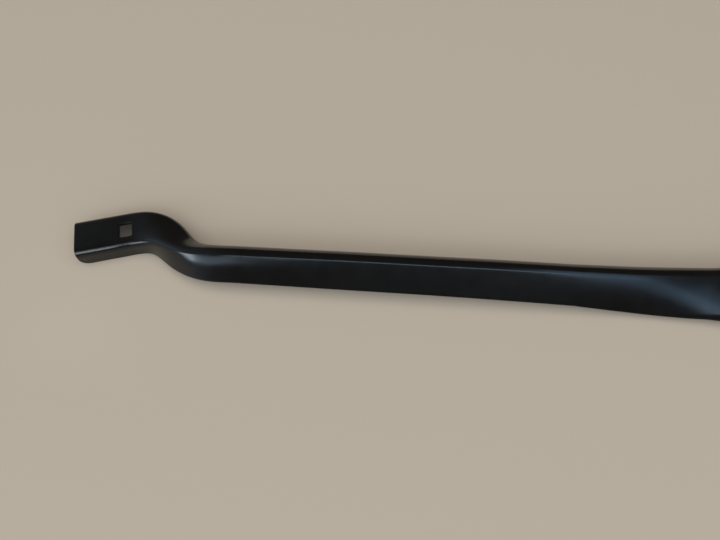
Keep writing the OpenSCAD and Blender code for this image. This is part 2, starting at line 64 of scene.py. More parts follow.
# Blade end of the channel
TIP_W = 21.8
TIP_H = 10.8
TIP_R = 4.1
TIP_TURN = 16.4
TIP_FOOT_R = 5
HOLE_LEN = 6.5
HOLE_WID = 8.5
HOLE_FROM_TIP = 26.4
HOLE_ASIDE = 1.2
HOLE_CORNER_R = 0.8
HOLE_RIM_R = 0.3

# Section of the channel: breadths and tilts of its strips
SHEET_T = 1.4
RIM_R = 0.35
LEAST_RIM_R = 0.02
MID_H = 11.5
WIDE_H = 13.2
ROOT_W = 24
ROOT_H = 21.5
ROOT_R = 3.5
MID_LEAN = 45
MID_FACE = 8
WIDE_FACE = 18.4
CREASE_B = 4.4
TOP_B = 5.8
TOP_TURN = 61.4
EDGE_B = 2.1
WIDE_FLANK = 57
CURL_B = 3
JOG_CROWN = 14
BROAD_CROWN = 14.6
FLAT_CROWN = 1
TIP_FLANK_B = 4
TIP_LIP_B = 2
FOOT_B = 0.3

# Route of the channel
ARM_LEN = 520
JOG_TURN = -57.4
JOG_FROM = 24.3
JOG_OUT_LEN = 37.8
JOG_GAP = 18.5
JOG_BACK_LEN = 49.2
LEAN_FROM = 32.9
LEAN_LEN = 50.2
BEND_FROM = 45
BEND_MID = 77
BEND_TO = 170
MID_Z = 19.8
CLIMB_LEN = 71
WIDE_Z = 18
DEEPEN_FROM = 163
FACE_FROM = 175
SINK_FROM = 210
FLANK_FROM = 220
WIDE_AT = 338
UPRIGHT_AT = 372
UPRIGHT_LEN = 34
CURL_LEN = 50.8
TWIST_END = 100
TWIST_LEN = 132.8
ROOT_LEN = 82

# Hinge
HINGE_REACH = 62
HINGE_H = 16
WEB_RISE = 9
HINGE_PIN_R = 2.5
HINGE_HEAD_R = 4.6
RIVET_HEAD_T = 1.4
RIVET_EDGE = 0.35
RIVET_DOME_FROM = 0.25  # radians
BUSH_WALL = 1.2
BUSH_FLANGE_R = 6
BUSH_FLANGE_T = 0.8
BUSH_EDGE_R = 0.15
EAR_R = 7
EAR_ARC = (115, -90)
CHEEK_LEN = 15
WEB_BACK = 3
RUN_GAP = 0.06
RIVET_GAP = 0.05
FACE_GAP = 0.15
FREE_GAP = 0.3
SLOT_W = 8

# Head and its nut cover
SEAT_H = 11
RECESS_R = 10.2
HEAD_R = 14.5
HEAD_H = 18.5
COVER_T = 1.8
COVER_RISE = 3
COVER_BEVEL = 0.15
COVER_HOLLOW = 0.9
PLUG_DEPTH = 4
PLUG_WALL = 1.4
COVER_INSET = 0.8
PLUG_LEAD = 0.4

# Spring linkage
HOOK_DROP = 7.5
HOOK_PIN_R = 2
PIN_EDGE_R = 0.25
ANCHOR_REACH = 98
ANCHOR_DROP = 4
ANCHOR_R = 2
ANCHOR_HEAD_R = 3.4
COIL_R = 5
WIRE_R = 1.1
COIL_PITCH = 2.45
HOOK_T = 3.5
HOOK_B = 2.2
HOOK_PLAY = 1.2
HOOK_LEN = 22
HOOK_ARC = (270, 125)
HOOK_NECK = 0.45
HOOK_TAPER = 0.8
HOOK_EDGE = 0.25
EYE_PLAY = 0.6
COIL_LEAD = 4
LAST_TURN = 0.25
EYE_SWEEP = 200

# Places that follow from these sizes
BASE_Z = -SEAT_H
HINGE_X = -HINGE_REACH
HINGE_Z = BASE_Z + HINGE_H
HOOK_Z = HINGE_Z - HOOK_DROP
ANCHOR_X = HINGE_X - ANCHOR_REACH
ANCHOR_Z = HINGE_Z - ANCHOR_DROP
FORK_HALF = ROOT_W / 2 - SHEET_T - BUSH_FLANGE_T - 2 * FACE_GAP
TWIST_TO = ARM_LEN - TWIST_END
TWIST_FROM = TWIST_TO - TWIST_LEN
ROOT_FROM = TWIST_TO - ROOT_LEN
CHANNEL_LEN = ARM_LEN + EAR_R + 2
LINE_TURN = math.atan2(HOOK_DROP - ANCHOR_DROP, ANCHOR_REACH)  # radians
LINE_LEN = math.hypot(ANCHOR_REACH, HOOK_DROP - ANCHOR_DROP)

# Fineness of the meshes: angles above which an edge stays sharp, distances under which points join
# and slivers go, a turn that counts as none, and numbers of points and steps
SHARP = 35
CHANNEL_SHARP = 32
HOOK_SHARP = 50
HEAD_SHARP = 60
MERGE_DIST = 0.002
SLIVER_DIST = 0.001
TINY = 1e-6  # radians
CUT_PAST = 1
RIM_POINTS = 5
FLARE_POINTS = 6
CORNER_POINTS = 7
ARC_POINTS = 40
DOME_POINTS = 8
BUSH_EDGE_STEPS = 3
PIN_EDGE_STEPS = 4
HOOK_ARC_POINTS = 28
TONGUE_POINTS = 20
HOOK_HOLE_POINTS = 33
TURNED_STEPS = 72
COVER_STEPS = 96
WIRE_STEPS = 32
WIRE_SIDES = 14
WIRE_DOME = (0.6, 0.9)
WIRE_DOME_LEN = 0.6
HEAD_VOXEL = 0.4
HEAD_RELAX = 0.5
HEAD_RELAX_ROUNDS = 8


# Meshes

def linked(name, data):
    """A new object of the scene."""
    piece = bpy.data.objects.new(name, data)
    bpy.context.scene.collection.objects.link(piece)
    return piece


def mesh_object(name, points, faces):
    """A smooth-shaded object from points in millimetres."""
    mesh = bpy.data.meshes.new(name)
    mesh.from_pydata([tuple(p) for p in np.asarray(points, float) * MM], [], faces)
    mesh.update()
    piece = linked(name, mesh)
    smooth(piece)
    return piece


def smooth(piece, sharp=SHARP):
    """Shades a piece smooth, apart from its edges above an angle."""
    mesh = piece.data
    mesh.polygons.foreach_set("use_smooth", [True] * len(mesh.polygons))
    mesh.set_sharp_from_angle(angle=math.radians(sharp))


def mend(piece, sharp=SHARP):
    """Joins points that fall together, as on an axis, and turns the faces outward."""
    work = bmesh.new()
    work.from_mesh(piece.data)
    bmesh.ops.remove_doubles(work, verts=work.verts, dist=MERGE_DIST * MM)
    bmesh.ops.dissolve_degenerate(work, edges=work.edges, dist=SLIVER_DIST * MM)
    bmesh.ops.recalc_face_normals(work, faces=work.faces)
    work.to_mesh(piece.data)
    work.free()
    smooth(piece, sharp)


def evaluated(piece):
    """A new mesh of a piece, with what its modifiers or its curve settings make of it."""
    graph = bpy.context.evaluated_depsgraph_get()
    return bpy.data.meshes.new_from_object(piece.evaluated_get(graph))


def bake(piece):
    """Puts a piece's modifiers into its mesh."""
    mesh = evaluated(piece)
    piece.modifiers.clear()
    piece.data = mesh


def cut(piece, *cutters):
    """Takes each cutter out of a piece, and then out of the scene."""
    for cutter in cutters:
        step = piece.modifiers.new("cut", "BOOLEAN")
        step.operation = "DIFFERENCE"
        step.solver = "EXACT"
        step.object = cutter
        bake(piece)
        bpy.data.objects.remove(cutter)


def tube_faces(rings, ring_points, closed_along=False):
    """Quads between rings that each have the same number of points."""
    faces = []
    for j in range(rings if closed_along else rings - 1):
        a, b = j * ring_points, (j + 1) % rings * ring_points
        for i in range(ring_points):
            k = (i + 1) % ring_points
            faces.append((a + i, a + k, b + k, b + i))
    return faces


def turned(name, profile, place, axis="Y", segments=TURNED_STEPS):
    """A piece turned from a closed profile of (radius, height) points about an axis at place."""
    points = []
    for j in range(segments):
        a = 2 * math.pi * j / segments
        for r, h in profile:
            x, y = r * math.cos(a), r * math.sin(a)
            points.append((x, y, h) if axis == "Z" else (x, h, -y))
    faces = tube_faces(segments, len(profile), closed_along=True)
    piece = mesh_object(name, np.array(points) + np.array(place), faces)
    mend(piece)
    return piece


def rod(radius, half):
    """Profile of a plain rod that reaches as far to the near side as to the far side."""
    return [(0, -half), (radius, -half), (radius, half), (0, half)]


def rounded(corners, radius, steps):
    """A closed outline with each convex or hollow corner rounded, never past half a side."""
    side_share = 0.45
    out = []
    count = len(corners)
    for i in range(count):
        p = np.array(corners[i], float)
        a = np.array(corners[i - 1], float) - p
        b = np.array(corners[(i + 1) % count], float) - p
        la, lb = np.linalg.norm(a), np.linalg.norm(b)
        half = math.acos(np.clip(a @ b / (la * lb), -1, 1)) / 2
        back = min(radius / math.tan(half), side_share * la, side_share * lb)
        start, end = p + a / la * back, p + b / lb * back
        for k in range(steps + 1):
            t = k / steps
            out.append((1 - t) ** 2 * start + 2 * t * (1 - t) * p + t * t * end)
    return out


def prism(name, shape, low, high):
    """A closed shape in X and Z, extruded across Y."""
    n = len(shape)
    points = [(x, low, z) for x, z in shape] + [(x, high, z) for x, z in shape]
    faces = [tuple(range(n)), tuple(range(2 * n - 1, n - 1, -1))]
    faces += [((i + 1) % n, i, n + i, n + (i + 1) % n) for i in range(n)]
    piece = mesh_object(name, points, faces)
    mend(piece)
    return piece


# Pressed channel, from the same functions as its solid, of the length s from its blade end

def ease(a, b, s):
    """Smooth step from 0 at a to 1 at b."""
    t = np.clip((s - a) / (b - a), 0, 1)
    return t * t * (3 - 2 * t)


def leaned(s):
    """How far the blade end's near flank has leaned back."""
    return ease(LEAN_FROM, LEAN_FROM + LEAN_LEN, s)


def bent(s):
    """How much the near face is crowned by the crank."""
    return ease(BEND_FROM, BEND_MID, s) - ease(BEND_MID, BEND_TO, s)


def broadened(s):
    """How far the near face has grown towards the web over the spring."""
    return ease(FLANK_FROM, WIDE_AT, s)


def untwisted(s):
    """How far the section has turned back level."""
    return ease(TWIST_FROM, TWIST_TO, s)


def rooted(s):
    """How far the section has become the root's."""
    return ease(ROOT_FROM, TWIST_TO, s)


def heading(s):
    """Turn of the channel's plan line from the arm's main line."""
    out = ease(JOG_FROM, JOG_FROM + JOG_OUT_LEN, s)
    back = ease(JOG_FROM + JOG_GAP, JOG_FROM + JOG_GAP + JOG_BACK_LEN, s)
    return TIP_TURN + (JOG_TURN - TIP_TURN) * out - JOG_TURN * back


def top_z(s):
    """Height of the section's highest line over the frame's origin."""
    return (BASE_Z + TIP_H + (MID_Z - TIP_H) * ease(JOG_FROM, JOG_FROM + CLIMB_LEN, s)
            + (WIDE_Z - MID_Z) * ease(SINK_FROM, WIDE_AT, s)
            + (HINGE_H + WEB_RISE - WIDE_Z) * rooted(s))


def foot_lift(s):
    """How far the blade end's rounded lower corners lift the feet."""
    gap = max(TIP_FOOT_R - s, 0)
    return TIP_FOOT_R - math.sqrt(TIP_FOOT_R ** 2 - gap ** 2)


def height(s):
    """Depth of the section from its highest line to its feet."""
    return (TIP_H - foot_lift(s) + (MID_H - TIP_H) * leaned(s)
            + (WIDE_H - MID_H) * ease(DEEPEN_FROM, WIDE_AT, s) + (ROOT_H - WIDE_H) * rooted(s))


# Plan line, summed up from the heading in short steps
PLAN_STEP = 0.25
plan_mid = np.arange(PLAN_STEP / 2, CHANNEL_LEN + PLAN_STEP, PLAN_STEP)
plan_turn = np.radians(heading(plan_mid))
plan_s = np.concatenate([[0], plan_mid + PLAN_STEP / 2])
plan_x = np.concatenate([[0], np.cumsum(np.cos(plan_turn)) * PLAN_STEP])
plan_y = np.concatenate([[0], np.cumsum(np.sin(plan_turn)) * PLAN_STEP])
TIP_X = HINGE_X - np.interp(ARM_LEN, plan_s, plan_x)
TIP_Y = -np.interp(ARM_LEN, plan_s, plan_y)

# Steps of each strip of the section, and points of a foot's rounded rim
CREASE_ROWS = 14
FACE_ROWS = 8
CURL_ROWS = 9
TOP_ROWS = 12
EDGE_ROWS = 12
FLANK_ROWS = 4
OUTER_POINTS = 1 + CREASE_ROWS + FACE_ROWS + CURL_ROWS + TOP_ROWS + EDGE_ROWS + 2 * FLANK_ROWS
FOOT_POINTS = 6
THIRD = (90 - FLAT_CROWN) / 3

# Stretches of the channel, each with the distance between its sections
CRANK_FROM = JOG_FROM - 6
CRANK_TO = 140
STRETCHES = (
    (RIM_R, TIP_FOOT_R, 0.4),
    (TIP_FOOT_R, CRANK_FROM, 2),
    (CRANK_FROM, CRANK_TO, 1),
    (CRANK_TO, WIDE_AT, 2),
    (WIDE_AT, TWIST_TO, 1.5),
    (TWIST_TO, CHANNEL_LEN, 4),
)


def strip(start, breadth, to, rows, way):
    """Points (across, up, tilt) of a strip that turns from the start's tilt to another, on its arc."""
    turn = math.radians(to - start[2]) / rows
    chord = breadth / rows * (math.sin(turn / 2) / (turn / 2) if abs(turn) > TINY else 1)
    middle = math.radians(start[2]) + turn * (np.arange(rows) + 0.5)
    across = start[0] + np.cumsum(way * chord * np.cos(middle))
    up = start[1] + np.cumsum(way * chord * np.sin(middle))
    return np.stack([across, up, start[2] + np.degrees(turn) * np.arange(1, rows + 1)], 1)


def flat_b(w, r):
    """Breadth of a slightly crowned strip between two rounded corners, over a width."""
    k = math.radians(FLAT_CROWN)
    return (w - 2 * r * (1 - math.sin(k))) * k / math.sin(k)


def outline(s):
    """Points (across, up, tilt) round the outside, near foot to far foot, up to their round rims."""
    lean, back = leaned(s), untwisted(s)
    tip_arc = TIP_R * math.radians(3 * THIRD)
    root_arc = ROOT_R * math.radians(THIRD)
    tilt = 90 + (MID_LEAN - 90) * lean - MID_LEAN * back
    half = ((JOG_CROWN * bent(s) + BROAD_CROWN * broadened(s) * (1 - rooted(s))) / 2
            + FLAT_CROWN * rooted(s))
    flank = (90 + (MID_LEAN + bent(s) * JOG_CROWN / 2 - 90) * lean
             + (WIDE_FLANK - MID_LEAN) * broadened(s)
             + (90 - WIDE_FLANK) * ease(UPRIGHT_AT - UPRIGHT_LEN, UPRIGHT_AT, s))
    top_near = FLAT_CROWN - (2 * FLAT_CROWN + THIRD) * lean
    top_far = (-FLAT_CROWN + (FLAT_CROWN - TOP_TURN) * lean
               + (TOP_TURN - FLAT_CROWN - 2 * THIRD) * back)
    fitted = min(1, (TIP_H - TIP_R - foot_lift(s) - FOOT_B) / (TIP_FLANK_B + TIP_LIP_B))
    crease_b = tip_arc + (CREASE_B - tip_arc) * lean + (root_arc - CREASE_B) * back
    face_b = (TIP_FLANK_B * fitted + (MID_FACE - TIP_FLANK_B) * lean
              + (WIDE_FACE - MID_FACE) * ease(FACE_FROM, WIDE_AT, s)
              + (flat_b(ROOT_W, ROOT_R) - WIDE_FACE) * rooted(s))
    curl_b = (TIP_LIP_B * fitted + (CURL_B - TIP_LIP_B) * ease(WIDE_AT - CURL_LEN, WIDE_AT, s)
              + (3 * root_arc - CURL_B) * rooted(s))
    tip_top = flat_b(TIP_W, TIP_R)
    top_b = tip_top + (TOP_B - tip_top) * lean + (root_arc - TOP_B) * back
    edge_b = tip_arc + (EDGE_B - tip_arc) * lean + (root_arc - EDGE_B) * back
    start = np.array([[0, 0, top_near]])
    crease = strip(start[-1], crease_b, tilt - half, CREASE_ROWS, -1)
    face = strip(crease[-1], face_b, tilt + half, FACE_ROWS, -1)
    curl = strip(face[-1], curl_b, flank, CURL_ROWS, -1)
    top = strip(start[-1], top_b, top_far, TOP_ROWS, 1)
    edge = strip(top[-1], edge_b, -90, EDGE_ROWS, 1)
    upper = np.concatenate([curl[::-1], face[::-1], crease[::-1], start, top, edge])
    high = upper[:, 1].max()
    near_b = max(FOOT_B, curl[-1][1] - high + height(s)) / math.sin(math.radians(flank))
    far_b = max(FOOT_B, edge[-1][1] - high + height(s))
    left, right = curl[-1][0] - near_b * math.cos(math.radians(flank)), edge[-1][0]
    middle = (min(left, upper[:, 0].min()) + max(right, upper[:, 0].max())) / 2
    near = strip(curl[-1], near_b - RIM_R, flank, FLANK_ROWS, -1)[::-1]
    far = strip(edge[-1], far_b - RIM_R, -90, FLANK_ROWS, 1)
    return np.concatenate([near, upper, far]) - (middle, high, 0)


def foot_rim(end, out, way, shrink):
    """Rounded rim of a foot, from the outer face to the inner one, past the end of an outline. The
    direction out is the outer face's."""
    down = way * np.array([out[1], -out[0]])
    rim_r = max(RIM_R - shrink, LEAST_RIM_R)
    inner_deep = SHEET_T - shrink - rim_r
    turn = np.linspace(0, math.pi, FOOT_POINTS + 1)[:, None]
    deep = np.where(turn <= math.pi / 2, shrink + rim_r, inner_deep)
    arc = end - out * deep + rim_r * (out * np.cos(turn) + down * np.sin(turn))
    corner = end - out * inner_deep + rim_r * down
    half = FOOT_POINTS // 2
    return np.concatenate([arc[1:half + 1], [corner], arc[half + 1:-1]])


def sheet_ring(s, shrink):
    """Closed section of the sheet with rounded feet, thinner by shrink on each face."""
    line = outline(s)
    points, tilt = line[:, :2], np.radians(line[:, 2])
    out = np.stack([-np.sin(tilt), np.cos(tilt)], 1)
    outer = points - out * shrink
    inner = points - out * (SHEET_T - shrink)
    far_foot = foot_rim(points[-1], out[-1], 1, shrink)
    near_foot = foot_rim(points[0], out[0], -1, shrink)
    return np.concatenate([outer, far_foot, inner[::-1], near_foot[::-1]])


def placed(s, ring):
    """A ring's points in space at a length s along the channel."""
    turn = math.radians(heading(s))
    x = TIP_X + np.interp(s, plan_s, plan_x) - ring[:, 0] * math.sin(turn)
    y = TIP_Y + np.interp(s, plan_s, plan_y) + ring[:, 0] * math.cos(turn)
    return np.stack([x, y, top_z(s) + ring[:, 1]], 1)


def spaced(start, end, step):
    """Even steps from start up to, but not including, end."""
    return list(np.linspace(start, end, max(2, math.ceil((end - start) / step) + 1))[:-1])


def at_tip(x, y, z):
    """A place given along and across the blade end, with z from the base."""
    cos, sin = math.cos(math.radians(TIP_TURN)), math.sin(math.radians(TIP_TURN))
    return TIP_X + x * cos - y * sin, TIP_Y + x * sin + y * cos, BASE_Z + z


def latch_cutter():
    """Cutter for the latch hole, wider at both faces of the web so that the rim is rounded."""
    a, b = HOLE_LEN / 2 - HOLE_CORNER_R, HOLE_WID / 2 - HOLE_CORNER_R
    top, under = TIP_H, TIP_H - SHEET_T
    flare = [(HOLE_RIM_R - HOLE_RIM_R * math.cos(t), HOLE_RIM_R * math.sin(t))
             for t in np.linspace(0, math.pi / 2, FLARE_POINTS)]
    levels = [(under - CUT_PAST, HOLE_RIM_R)]
    levels += [(under + HOLE_RIM_R - z, grow) for grow, z in reversed(flare)]
    levels += [(top - HOLE_RIM_R + z, grow) for grow, z in flare]
    levels += [(top + CUT_PAST, HOLE_RIM_R)]
    points = []
    corners = [np.linspace(start, start + 90, CORNER_POINTS) for start in (0, 90, 180, 270)]
    turns = np.radians(np.concatenate(corners))
    for z, grow in levels:
        for t in turns:
            x = math.copysign(a, math.cos(t + TINY)) + (HOLE_CORNER_R + grow) * math.cos(t)
            y = math.copysign(b, math.sin(t + TINY)) + (HOLE_CORNER_R + grow) * math.sin(t)
            points.append(at_tip(HOLE_FROM_TIP + x, y - HOLE_ASIDE, z))
    n = len(turns)
    faces = tube_faces(len(levels), n)
    faces += [tuple(range(n)), tuple(range(len(points) - 1, len(points) - n - 1, -1))]
    cutter = mesh_object("latch_cutter", points, faces)
    mend(cutter)
    return cutter


def ear_cutter():
    """Cutter that leaves the rounded ears and the sloped cheeks at the hinge end."""
    far = 2 * EAR_R
    drop = ROOT_H - WEB_RISE
    turns = np.radians(np.linspace(*EAR_ARC, ARC_POINTS))
    arc = [(EAR_R * math.cos(t), EAR_R * math.sin(t)) for t in turns]
    shape = [(-WEB_BACK, far), (-WEB_BACK, arc[0][1])] + arc
    shape += [(-CHEEK_LEN, -drop), (-CHEEK_LEN, -far - drop), (far, -far - drop), (far, far)]
    return prism("ear_cutter", [(HINGE_X + x, HINGE_Z + z) for x, z in shape], -ROOT_W, ROOT_W)


def bar_cutter(name, radius, x, z):
    return turned(name, rod(radius, ROOT_W), (x, 0, z))


def arm_channel():
    """The pressing, swept through its sections, with a rounded rim at the blade end."""
    stations = [(RIM_R * (1 - math.cos(t)), RIM_R * (1 - math.sin(t)))
                for t in np.linspace(0, math.pi / 2, RIM_POINTS)[:-1]]
    for start, end, step in STRETCHES:
        stations += [(s, 0) for s in spaced(start, end, step)]
    stations.append((CHANNEL_LEN, 0))
    rings = [placed(s, sheet_ring(s, shrink)) for s, shrink in stations]
    n, half_foot = len(rings[0]), FOOT_POINTS // 2
    last = 2 * OUTER_POINTS + FOOT_POINTS - 1
    caps = []
    for j in (0, len(rings) - 1):
        for i in range(-half_foot, OUTER_POINTS + half_foot - 1):
            caps.append(tuple(j * n + k % n for k in (i, i + 1, last - i - 1, last - i)))
    faces = tube_faces(len(rings), n) + caps
    piece = mesh_object("channel_pressing", np.concatenate(rings), faces)
    mend(piece)
    cut(piece, latch_cutter(), ear_cutter(),
        bar_cutter("hinge_cutter", HINGE_PIN_R, HINGE_X, HINGE_Z),
        bar_cutter("anchor_cutter", ANCHOR_R, ANCHOR_X, ANCHOR_Z))
    smooth(piece, CHANNEL_SHARP)
    return piece


# Smaller pieces

def rivet(name, radius, head_r, x, z):
    """A riveted pin: domed heads outside the channel's flanks, with a slight edge on each."""
    under = ROOT_W / 2 + RIVET_GAP
    top = under + RIVET_HEAD_T
    dome = [(head_r, under), (head_r, under + RIVET_HEAD_T * RIVET_EDGE)]
    dome += [(head_r * math.cos(t), top - RIVET_HEAD_T * (1 - RIVET_EDGE) * (1 - math.sin(t)))
             for t in np.linspace(RIVET_DOME_FROM, math.pi / 2, DOME_POINTS)]
    half = [(radius, under)] + dome
    profile = half + [(r, -h) for r, h in reversed(half)]
    return turned(name, profile, (x, 0, z))


def bush(name, side):
    """A flanged bush in a cheek of the head's fork, on the near side at -1 or the far side at 1."""
    inner = SLOT_W / 2 + FACE_GAP
    outer = FORK_HALF + FACE_GAP
    bore, wall = HINGE_PIN_R + RUN_GAP, HINGE_PIN_R + RUN_GAP + BUSH_WALL
    shape = [(bore, inner), (wall, inner), (wall, outer), (BUSH_FLANGE_R, outer),
             (BUSH_FLANGE_R, outer + BUSH_FLANGE_T), (bore, outer + BUSH_FLANGE_T)]
    profile = [(r, side * h) for r, h in rounded(shape, BUSH_EDGE_R, BUSH_EDGE_STEPS)]
    return turned(name, profile, (HINGE_X, 0, HINGE_Z))


def hook_pin():
    shape = rounded(rod(HOOK_PIN_R, FORK_HALF - FACE_GAP), PIN_EDGE_R, PIN_EDGE_STEPS)
    return turned("hook_cross_pin", shape, (HINGE_X, 0, HOOK_Z))


def nut_cover():
    """The domed cap with its hollow plug."""
    top = BASE_Z + HEAD_H + FACE_GAP
    plug_r, rim_r = RECESS_R - FACE_GAP, HEAD_R - COVER_INSET
    dome = [(rim_r * math.sin(t), COVER_T / 2 + (COVER_RISE + COVER_T / 2) * math.cos(t))
            for t in np.linspace(0, math.pi / 2, ARC_POINTS)]
    below = [(rim_r, COVER_BEVEL), (rim_r - COVER_BEVEL, 0), (plug_r, 0),
             (plug_r - PLUG_LEAD, -PLUG_DEPTH), (plug_r - PLUG_WALL, -PLUG_DEPTH),
             (plug_r - PLUG_WALL, COVER_RISE / 2), (plug_r / 2, COVER_RISE * COVER_HOLLOW),
             (0, COVER_RISE)]
    return turned("nut_cap", dome + below, (0, 0, top), axis="Z", segments=COVER_STEPS)


def on_line(points):
    """Points given along the spring's line, from the hook pin towards the anchor pin."""
    cos, sin = math.cos(LINE_TURN), math.sin(LINE_TURN)
    along, across, up = np.asarray(points, float).T
    return np.stack([HINGE_X - along * cos + up * sin, -across,
                     HOOK_Z + along * sin + up * cos], 1)


def swept(name, path, radius, sides):
    """A round wire along a path, its section carried along without twist, its ends slightly domed."""
    run = np.gradient(path, axis=0)
    run /= np.linalg.norm(run, axis=1)[:, None]
    off_the_wire = (0.3, 0.5, 0.8)
    up = np.cross(run[0], off_the_wire)
    up /= np.linalg.norm(up)
    ups = []
    for t in run:
        up = up - t * (up @ t)
        up /= np.linalg.norm(up)
        ups.append(up)
    turns = np.linspace(0, 2 * math.pi, sides, endpoint=False)

    def ring(i, way=0, share=1):
        """Ring at a point of the path, or past it and narrower at a share of the radius."""
        centre = path[i] + way * run[i] * radius * (1 - share) * WIRE_DOME_LEN
        side = np.cross(run[i], ups[i])
        around = np.outer(np.cos(turns), ups[i]) + np.outer(np.sin(turns), side)
        return centre + radius * share * around

    rings = [ring(0, -1, share) for share in WIRE_DOME]
    rings += [ring(i) for i in range(len(path))]
    rings += [ring(-1, 1, share) for share in reversed(WIRE_DOME)]
    total = len(rings)
    faces = tube_faces(total, sides)
    faces += [tuple(range(sides)), tuple(range((total - 1) * sides, total * sides))]
    piece = mesh_object(name, np.concatenate(rings), faces)
    mend(piece)
    return piece


def tension_spring():
    """The wire: an eye through the hook, the coil, and an eye round the anchor pin."""
    hook_eye = HOOK_LEN + COIL_R
    anchor_eye = LINE_LEN - (COIL_R - WIRE_R - ANCHOR_R - FREE_GAP)
    first, last = hook_eye + COIL_LEAD, anchor_eye - COIL_LEAD
    turns = math.floor((last - first) / COIL_PITCH) + LAST_TURN
    path = []
    for i in range(WIRE_STEPS + 1):
        a = math.radians(90 + EYE_SWEEP * (1 - i / WIRE_STEPS))
        path.append((hook_eye + COIL_R * math.cos(a), COIL_R * math.sin(a), 0))
    for i in range(1, int(turns * WIRE_STEPS)):
        a = 2 * math.pi * i / WIRE_STEPS
        x = first + (last - first) * i / (turns * WIRE_STEPS)
        path.append((x, COIL_R * math.cos(a), COIL_R * math.sin(a)))
    for i in range(WIRE_STEPS + 1):
        a = math.radians(90 - EYE_SWEEP * i / WIRE_STEPS)
        path.append((anchor_eye + COIL_R * math.cos(a), 0, COIL_R * math.sin(a)))
    return swept("coil_wire", on_line(path), WIRE_R, WIRE_SIDES)


def spring_hook():
    """The blanked hook: its outline and far hole, extruded and with broken edges."""
    in_r = HOOK_PIN_R + HOOK_PLAY
    eye_x = HOOK_PLAY - FREE_GAP
    mid_r = in_r + HOOK_B / 2
    hole_r = WIRE_R + EYE_PLAY
    tongue = hole_r + HOOK_B

    def arc(r, start, end, x, n=HOOK_ARC_POINTS):
        turns = np.radians(np.linspace(start, end, n))
        return [(x + r * math.cos(t), r * math.sin(t)) for t in turns]

    shape = arc(in_r, *HOOK_ARC, eye_x) + arc(in_r + HOOK_B, *reversed(HOOK_ARC), eye_x)
    shape += [(HOOK_LEN / 3, -mid_r - HOOK_B / 2)]
    shape += arc(tongue, -90, 90, HOOK_LEN, TONGUE_POINTS)
    shape += [(HOOK_LEN - tongue, tongue * HOOK_TAPER), (HOOK_LEN * HOOK_NECK, -mid_r + HOOK_B)]
    hole = arc(hole_r, 360, 0, HOOK_LEN, HOOK_HOLE_POINTS)[:-1]
    data = bpy.data.curves.new("hook_outline", "CURVE")
    data.dimensions = "2D"
    data.fill_mode = "BOTH"
    data.extrude = (HOOK_T / 2 - HOOK_EDGE) * MM
    data.bevel_depth = HOOK_EDGE * MM
    data.bevel_resolution = 2
    data.offset = -HOOK_EDGE * MM
    for loop in (shape, hole):
        spline = data.splines.new("POLY")
        spline.points.add(len(loop) - 1)
        for point, (x, y) in zip(spline.points, loop):
            point.co = (x * MM, y * MM, 0, 1)
        spline.use_cyclic_u = True
    flat = linked("hook_outline", data)
    mesh = evaluated(flat)
    bpy.data.objects.remove(flat)
    co = np.array([v.co for v in mesh.vertices]) / MM
    lifted = on_line(np.stack([co[:, 0], -co[:, 2], co[:, 1]], 1))
    mesh.vertices.foreach_set("co", (lifted * MM).astype(np.float32).ravel())
    piece = linked("pull_hook", mesh)
    mend(piece, HOOK_SHARP)
    return piece


def mounting_head():
    """The casting: the solid's own form with every edge softened as a die leaves it."""
    piece = linked("cast_head", frame["nodes"]["mounting_head"].data.copy())
    mend(piece)
    remesh = piece.modifiers.new("remesh", "REMESH")
    remesh.mode = "VOXEL"
    remesh.voxel_size = HEAD_VOXEL * MM
    relax = piece.modifiers.new("relax", "SMOOTH")
    relax.factor = HEAD_RELAX
    relax.iterations = HEAD_RELAX_ROUNDS
    bake(piece)
    smooth(piece, HEAD_SHARP)
    return piece


# Materials

# Noise values between which a range of tones or of roughness is run through, and the share of its
# tint that plating keeps in its darker patches
NOISE_SPAN = (0.3, 0.7)
PATCH_SHADE = 0.82


def plated(tint):
    """Zinc plating of a tint, with patches that are a little darker."""
    darker = tuple(PATCH_SHADE * c for c in tint)
    return dict(color=tint, roughness=0.32, metallic=1,
                tones=(darker, tint, 400, 4), rough=(0.26, 0.42, 800, 4), grain=(0.006, 1800, 2))


# Each finish with its mean colour and roughness, and what noise makes of it: tones from one colour
# to another, rough from one roughness to another, and grain of a height in millimetres. Each of
# these three ends with its noise's scale and detail
FINISHES = {
    "satin_black_paint": dict(
        color=(0.003, 0.0031, 0.0033), roughness=0.19,
        tones=((0.0026, 0.0027, 0.0029), (0.0038, 0.0039, 0.0041), 90, 3),
        rough=(0.17, 0.21, 160, 4), grain=(0.002, 900, 2)),
    "cast_black_paint": dict(
        color=(0.01, 0.0105, 0.011), roughness=0.42,
        tones=((0.009, 0.0095, 0.01), (0.013, 0.0135, 0.014), 120, 3),
        rough=(0.38, 0.48, 300, 4), grain=(0.012, 1400, 3)),
    "moulded_black": dict(
        color=(0.016, 0.016, 0.017), roughness=0.55,
        rough=(0.5, 0.62, 500, 3), grain=(0.02, 2600, 3)),
    "bearing_resin": dict(
        color=(0.62, 0.58, 0.5), roughness=0.45,
        tones=((0.58, 0.54, 0.46), (0.66, 0.62, 0.54), 300, 3),
        rough=(0.4, 0.5, 700, 3)),
    "plated_steel": plated((0.56, 0.56, 0.55)),
    "blanked_steel": plated((0.48, 0.48, 0.47)),
    "drawn_wire": dict(
        color=(0.3, 0.3, 0.31), roughness=0.38, metallic=1,
        tones=((0.2, 0.2, 0.21), (0.34, 0.34, 0.35), 500, 4),
        rough=(0.32, 0.5, 900, 4), grain=(0.005, 2400, 2)),
}


